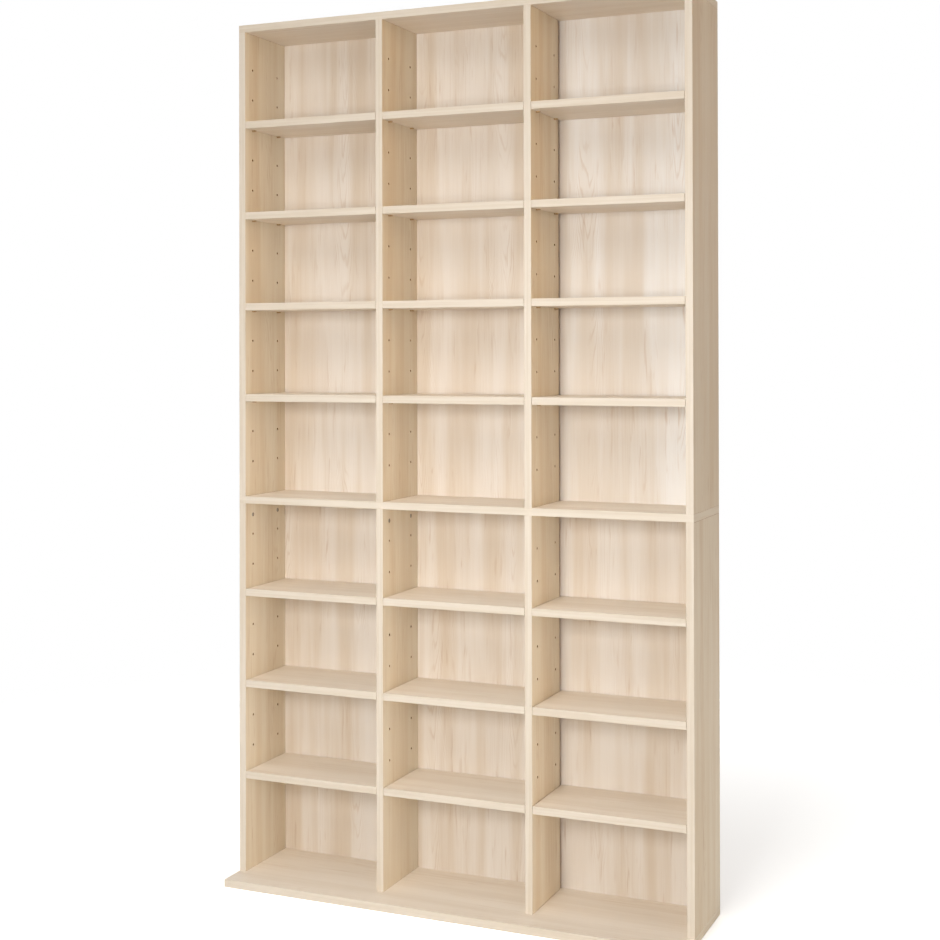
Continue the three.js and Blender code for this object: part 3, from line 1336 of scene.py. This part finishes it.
@dataclass
class ShelfPins:
    """Bronzed pins with a half-round tongue that is flat on top, in the holes under the shelves."""

    layout: Layout
    maker: RowMaker
    steel: bpy.types.Material
    shank_diameter: float = 4.8 * MM
    shank_length: float = 6.2 * MM
    shank_sides: int = 24
    tongue_radius: float = 3 * MM
    tongue_reach: float = 8 * MM
    tongue_steps: int = 12
    nose: float = 0.7 * MM
    nose_steps: int = 3

    def tongue(self) -> bpy.types.Object:
        """Makes the tongue, along +X from the board's face.

        Returns:
            The tongue.
        """
        radius = self.tongue_radius
        body = bmesh.new()
        angles = [math.pi + math.pi * i / self.tongue_steps for i in range(self.tongue_steps + 1)]
        outline = [(radius * math.cos(angle), radius * math.sin(angle)) for angle in angles]
        root = body.faces.new([body.verts.new((0.0, y, z)) for y, z in outline])
        grown = bmesh.ops.extrude_face_region(body, geom=[root])["geom"]
        tip = [v for v in grown if isinstance(v, bmesh.types.BMVert)]
        bmesh.ops.translate(body, verts=tip, vec=(self.tongue_reach, 0.0, 0.0))
        rim = [e for e in body.edges if all(v.co.x > self.tongue_reach / 2 for v in e.verts)]
        bmesh.ops.bevel(
            body, geom=rim, offset=self.nose, segments=self.nose_steps, profile=0.5, affect="EDGES"
        )
        bmesh.ops.recalc_face_normals(body, faces=body.faces)
        return new_piece("tongue", body, self.steel)

    def pin(self) -> bpy.types.Object:
        """Makes one pin: its tongue and the shank that fills the hole.

        Returns:
            The pin, with the middle of its hole at the origin.
        """
        ring = round_ring(self.shank_diameter / 2)
        tip = round_ring(self.shank_diameter / 2 - self.nose)
        rings = [(-self.shank_length, tip), (self.nose - self.shank_length, ring), (0.0, ring)]
        shank = turned("shank", rings, self.shank_sides, self.steel)
        shank.data.transform(Z_TO_X)
        return merged("pin", [self.tongue(), shank])

    def build(self) -> None:
        """Builds the pins of each panel."""
        part = self.pin()
        layout = self.layout
        step = (0.0, 0.0, layout.hole_pitch * layout.holes_per_shelf)
        for level, feet in layout.pins.items():
            for i, panel in enumerate(PANELS):
                rows = []
                for face, into in layout.inner_faces(i):
                    place = (face, feet[0], step, len(feet), facing(into))
                    rows.append(self.maker.lay("pins", part, *place))
                hand_over(merged(f"shelf_pins_{panel}_{level.value}", rows), CARCASS, STEEL_SLOT)
        drop(part)


@dataclass
class Screws:
    """Screws with a hexagon socket, up through the base and down through the ends of the top."""

    layout: Layout
    maker: RowMaker
    steel: bpy.types.Material
    root_diameter: float = 4 * MM
    pitch: float = 3 * MM
    turn_steps: int = 6
    tip_length: float = 3 * MM
    socket_width: float = 4 * MM
    socket_depth: float = 2 * MM
    easing: float = 0.4 * MM
    sides: int = 24

    def screw(self) -> bpy.types.Object:
        """Makes one screw.

        Returns:
            The screw, with its head at the origin and its tip along +Z.
        """
        hardware = self.layout.hardware
        length = hardware.screw_length
        head = hardware.head_diameter / 2
        neck = hardware.neck_diameter / 2
        root = self.root_diameter / 2
        rings = [
            (self.socket_depth, hexagon_ring(self.socket_width)),
            (0.0, hexagon_ring(self.socket_width)),
            (0.0, round_ring(head - self.easing)),
            (self.easing, round_ring(head)),
            (hardware.head_height - self.easing, round_ring(head)),
            (hardware.head_height, round_ring(neck)),
            (hardware.neck_end, round_ring(neck)),
        ]
        start = hardware.neck_end + self.easing
        end = length - self.tip_length
        crest = hardware.thread_diameter / 2
        rings += thread_rings(start, end, root, crest, self.pitch, self.turn_steps)
        rings.append((length - self.easing, round_ring(self.easing)))
        rings.append((length, round_ring(self.easing / 2)))
        return turned("screw", rings, self.sides, self.steel)

    def build(self) -> None:
        """Builds the screws of the base and of the top."""
        part = self.screw()
        layout = self.layout
        left = layout.panel_middle(0)
        recess = layout.hardware.screw_recess
        step = (layout.column_step, 0.0, 0.0)
        height = layout.floor + recess
        base = self.maker.lay("base_screws", part, left, height, step, len(PANELS))
        nodes = [f"base_screw_{panel}_{line}" for panel in PANELS for line in LINES]
        hand_over(base, CARCASS, STEEL_SLOT, *nodes)
        outer = (PANELS[0], PANELS[-1])
        step = (layout.column_step * len(COLUMNS), 0.0, 0.0)
        height = layout.top - recess
        turn = (math.pi, 0.0, 0.0)
        top = self.maker.lay("top_screws", part, left, height, step, len(outer), turn)
        nodes = [f"top_screw_{panel}_{line}" for panel in outer for line in LINES]
        hand_over(top, CARCASS, STEEL_SLOT, *nodes)
        drop(part)


@dataclass
class TieBolts:
    """Bolts through the middle board, with a cross nut below and a ribbed peg above."""

    layout: Layout
    maker: RowMaker
    steel: bpy.types.Material
    boards: BoardMaker
    root_diameter: float = 4.2 * MM
    pitch: float = 1.6 * MM
    turn_steps: int = 6
    rod_sides: int = 16
    nut_sides: int = 32
    peg_ribs: int = 12
    rib_depth: float = 0.35 * MM
    peg_taper: float = 0.8 * MM
    nut_recess: float = 0.4 * MM
    slot_width: float = 1.2 * MM
    slot_depth: float = 0.9 * MM
    easing: float = 0.4 * MM

    def nut(self) -> bpy.types.Object:
        """Makes the cross nut, with a screwdriver slot in the end that shows.

        Returns:
            The nut, along +X from the middle of the panel's thickness.
        """
        hardware = self.layout.hardware
        half = self.layout.thickness / 2
        ring = round_ring(hardware.nut_diameter / 2)
        eased = round_ring(hardware.nut_diameter / 2 - self.easing)
        outer = half - self.nut_recess
        inner = half - hardware.nut_depth
        rings = eased_rings(inner, outer, self.easing, ring, eased)
        nut = turned("nut", rings, self.nut_sides, self.steel)
        nut.data.transform(Z_TO_X)
        low = Vector((outer - self.slot_depth, -hardware.nut_diameter, -self.slot_width / 2))
        high = Vector((outer + self.slot_depth, hardware.nut_diameter, self.slot_width / 2))
        return self.boards.cut(nut, [block("slot", low, high, self.steel)])

    def bolt(self) -> bpy.types.Object:
        """Makes one bolt with its nut and its peg.

        Returns:
            The bolt, upright, with the middle of its nut at the origin.
        """
        hardware = self.layout.hardware
        peg_foot = hardware.bolt_drop + self.layout.thickness + hardware.clearance
        peg_head = peg_foot + hardware.peg_length
        root = self.root_diameter / 2
        crest = hardware.bolt_diameter / 2
        shank = thread_rings(-hardware.bolt_tail, peg_foot, root, crest, self.pitch, self.turn_steps)
        rod = turned("rod", shank, self.rod_sides, self.steel)
        radius = hardware.peg_diameter / 2
        ribbed = fluted_ring(radius, self.peg_ribs, self.rib_depth)
        eased = fluted_ring(radius - self.peg_taper, self.peg_ribs, self.rib_depth)
        rings = eased_rings(peg_foot, peg_head, self.easing, ribbed, eased)
        peg = turned("peg", rings, self.peg_ribs * POINTS_PER_FLUTE, self.steel)
        return merged("bolt", [rod, peg, self.nut()])

    def build(self) -> None:
        """Builds the bolts of each panel. Their nuts look towards the middle column."""
        part = self.bolt()
        layout = self.layout
        height = layout.span[Level.LOWER][1] - layout.hardware.bolt_drop
        for i, panel in enumerate(PANELS):
            turn = facing(layout.nut_face(i)[1])
            x = layout.panel_middle(i)
            bolts = self.maker.lay(f"tie_bolts_{panel}", part, x, height, turn=turn)
            nodes = [f"tie_bolt_{panel}_{line}" for line in LINES]
            hand_over(bolts, CARCASS, STEEL_SLOT, *nodes)
        drop(part)


@dataclass
class Dowels:
    """Fluted wooden dowels between the dividers and the top board."""

    layout: Layout
    maker: RowMaker
    beech: bpy.types.Material
    flutes: int = 16
    flute_depth: float = 0.4 * MM
    easing: float = 1 * MM

    def build(self) -> None:
        """Builds the four dowels."""
        layout = self.layout
        half = layout.hardware.dowel_half_length
        radius = layout.hardware.dowel_diameter / 2
        ring = fluted_ring(radius, self.flutes, self.flute_depth)
        eased = fluted_ring(radius - self.easing, self.flutes, self.flute_depth)
        rings = eased_rings(-half, half, self.easing, ring, eased)
        part = turned("dowel", rings, self.flutes * POINTS_PER_FLUTE, self.beech)
        dividers = [i for i in range(len(PANELS)) if not layout.is_outer(i)]
        x = layout.panel_middle(dividers[0])
        height = layout.span[Level.UPPER][1]
        step = (layout.column_step, 0.0, 0.0)
        dowels = self.maker.lay("top_dowels", part, x, height, step, len(dividers))
        drop(part)
        hand_over(dowels, CARCASS, BOARD_SLOT)


@dataclass
class PhotoCamera:
    """The camera of the photograph, from a fit to its straight edges."""

    place: Spot = (1248.7 * MM, -2866.4 * MM, 1109.3 * MM)
    azimuth: float = 23.350
    elevation: float = 0.360
    roll: float = -0.113
    focal_pixels: float = 1542.6
    centre_row_pixel: float = 341.9
    frame_pixels: float = 940.0
    sensor: float = 36.0

    def build(self) -> None:
        """Places the camera."""
        data = bpy.data.cameras.new("photo_camera")
        data.sensor_width = self.sensor
        data.lens = self.focal_pixels / self.frame_pixels * self.sensor
        data.shift_y = (self.centre_row_pixel - self.frame_pixels / 2) / self.frame_pixels
        camera = bpy.data.objects.new("photo_camera", data)
        bpy.context.scene.collection.objects.link(camera)
        turn = Matrix.Rotation(math.radians(self.azimuth), 4, "Z")
        tilt = Matrix.Rotation(math.radians(90 + self.elevation), 4, "X")
        roll = Matrix.Rotation(math.radians(self.roll), 4, "Z")
        camera.matrix_world = Matrix.Translation(self.place) @ turn @ tilt @ roll
        bpy.context.scene.camera = camera


@dataclass
class Lamp:
    """A soft square lamp, whose power follows from the light that it gives where it is aimed."""

    # At a share of 1 and the full spread, a white surface there renders as white. A narrower
    # spread gives more light at the same share.
    name: str
    place: Spot
    share: float
    size: float
    colour: str = "#ffffff"
    aim: Spot = (0.0, 0.0, 0.95)
    spread: float = 180.0

    def build(self) -> None:
        """Hangs the lamp and turns it to its aim."""
        place = Vector(self.place)
        way = Vector(self.aim) - place
        data = bpy.data.lights.new(self.name, "AREA")
        data.energy = math.pi**2 * way.length_squared * self.share
        data.size = self.size
        data.spread = math.radians(self.spread)
        data.color = linear(self.colour)[:3]
        lamp = bpy.data.objects.new(self.name, data)
        lamp.visible_camera = False
        bpy.context.scene.collection.objects.link(lamp)
        turn = way.to_track_quat("-Z", "Y").to_matrix().to_4x4()
        lamp.matrix_world = Matrix.Translation(place) @ turn


@dataclass
class Studio:
    """A white floor and soft light, mostly from the front."""

    sky_strength: float = 0.10
    sky_colour: str = "#fff6ea"
    floor_half: float = 4.0
    floor_colour: str = "#fbfbfa"
    floor_lift: float = 0.45
    fade_span: Span = (0.9, 2.5)
    lamps: tuple[Lamp, ...] = (
        Lamp("front_softbox", (0.2, -2.5, 1.22), 0.232, 0.75, aim=(-0.05, 0.0, 0.8), spread=120.0),
        Lamp("high_softbox", (0.2, -2.8, 2.8), 0.042, 1.0, aim=(0.0, 0.0, 0.2), spread=110.0),
        Lamp("overhead_softbox", (0.0, -4.0, 9.0), 0.275, 4.5),
        Lamp("right_high_softbox", (3.2, -0.9, 2.1), 0.031, 1.2, "#ffcf8c", (0.3, 0.0, 1.8), 60.0),
        Lamp("right_low_softbox", (3.2, -0.9, 0.2), 0.042, 1.2, "#fff0e2", (0.3, 0.0, 0.0), 60.0),
        Lamp("left_softbox", (-3.4, 0.0, 1.1), 0.20, 1.4),
        Lamp("rear_softbox", (0.0, 3.6, 1.8), 0.45, 1.6),
    )

    def world(self) -> None:
        """Lights the object evenly from all round, in front of a white background."""
        world = bpy.data.worlds.new("studio")
        world.use_nodes = True
        tree = world.node_tree
        tree.nodes.clear()
        path = add_node(tree, "ShaderNodeLightPath").outputs
        seen = path["Is Camera Ray"]
        for name in ("Is Glossy Ray", "Is Transmission Ray"):
            seen = add_node(tree, "ShaderNodeMath", {0: seen, 1: path[name]}, operation="MAXIMUM")
        light = {"Color": linear(self.sky_colour), "Strength": self.sky_strength}
        around = add_node(tree, "ShaderNodeBackground", light)
        white = {"Color": linear(WHITE), "Strength": 1.0}
        behind = add_node(tree, "ShaderNodeBackground", white)
        sky = add_node(tree, "ShaderNodeMixShader", {0: seen, 1: around, 2: behind})
        add_node(tree, "ShaderNodeOutputWorld", {"Surface": sky})
        bpy.context.scene.world = world

    def floor(self) -> None:
        """Lays the white floor, which keeps the object's shadow and fades out away from it."""
        body = bmesh.new()
        bmesh.ops.create_grid(body, x_segments=1, y_segments=1, size=self.floor_half)
        material = bpy.data.materials.new("white_paper_sweep")
        material.use_nodes = True
        tree = material.node_tree
        tree.nodes.clear()
        paper = add_node(tree, "ShaderNodeBsdfDiffuse", {"Color": linear(self.floor_colour)})
        seen = add_node(tree, "ShaderNodeLightPath").outputs["Is Camera Ray"]
        lift = {0: seen, 1: self.floor_lift}
        strength = add_node(tree, "ShaderNodeMath", lift, operation="MULTIPLY")
        white = {"Color": linear(WHITE), "Strength": strength}
        glow = add_node(tree, "ShaderNodeEmission", white)
        lit = add_node(tree, "ShaderNodeAddShader", {0: paper, 1: glow})
        place = add_node(tree, "ShaderNodeTexCoord").outputs["Object"]
        away = add_node(tree, "ShaderNodeVectorMath", {0: place}, operation="LENGTH").outputs["Value"]
        far = {"Value": away, **ends("From", self.fade_span)}
        fade = add_node(tree, "ShaderNodeMapRange", far, interpolation_type="SMOOTHSTEP")
        clear = add_node(tree, "ShaderNodeBsdfTransparent")
        faded = add_node(tree, "ShaderNodeMixShader", {0: fade, 1: lit, 2: clear})
        add_node(tree, "ShaderNodeOutputMaterial", {"Surface": faded})
        new_piece("studio_floor", body, material)

    def build(self) -> None:
        """Sets up the light, the floor and the plain view."""
        self.world()
        self.floor()
        for lamp in self.lamps:
            lamp.build()
        bpy.context.scene.view_settings.view_transform = "Standard"


def main() -> None:
    """Builds the sub-assemblies in order and reports each piece."""
    logging.basicConfig(level=logging.INFO, format="%(name)s: %(message)s")
    PhotoCamera().build()
    layout = Layout()
    palette = Palette()
    maker = RowMaker(layout)
    boards = BoardMaker(palette)
    bores = Bores(layout, maker, palette.raw)
    UprightPanels(layout, boards, PinHoles(layout, bores), bores).build()
    LevelBoards(layout, boards, bores).build()
    Shelves(boards).build()
    Backs(boards).build()
    ShelfPins(layout, maker, palette.bronze).build()
    Screws(layout, maker, palette.zinc).build()
    TieBolts(layout, maker, palette.zinc, boards).build()
    Dowels(layout, maker, palette.beech).build()
    Studio().build()


if __name__ == "__main__":
    main()
